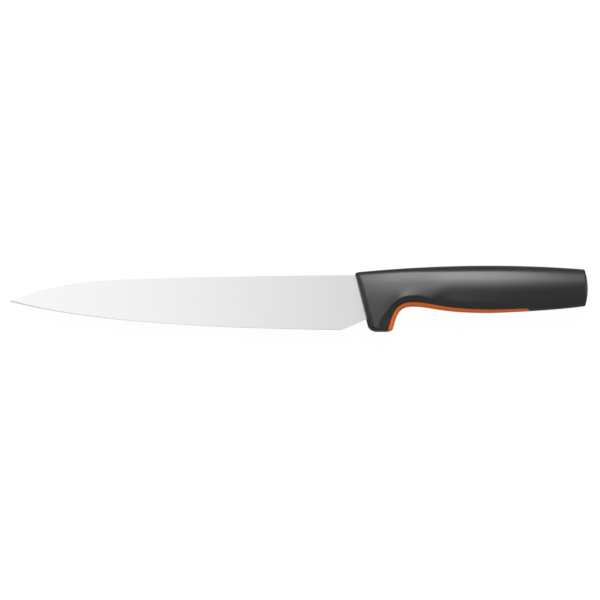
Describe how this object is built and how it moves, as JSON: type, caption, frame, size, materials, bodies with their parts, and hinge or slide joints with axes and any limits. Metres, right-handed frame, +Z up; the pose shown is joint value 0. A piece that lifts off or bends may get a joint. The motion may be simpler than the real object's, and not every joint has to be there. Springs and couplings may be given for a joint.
{
  "type": "carving knife",
  "caption": "Kitchen carving knife with a long narrow pointed blade, hidden tang, soft black moulded grip and an orange lined finger recess.",
  "frame": {"origin": "under the middle of the knife's box, on the surface that it lies on, with the knife flat on its side", "axes": "X along the knife, the point towards -X and the butt towards +X; Y across it, the spine towards +Y and the edge towards -Y; Z through its thickness, +Z up"},
  "size_m": [0.3468, 0.0398, 0.0217],
  "materials": {
    "steel": "satin, with fine grinding marks from spine to edge",
    "core_plastic": "as moulded, hidden inside the grip",
    "soft_black": "fine moulded texture with a soft sheen",
    "orange_plastic": "satin moulded"
  },
  "bodies": {
    "root": {"blade": "steel", "handle_core": "core_plastic", "grip_cover": "soft_black", "finger_liner": "orange_plastic"}
  },
  "joints": []
}
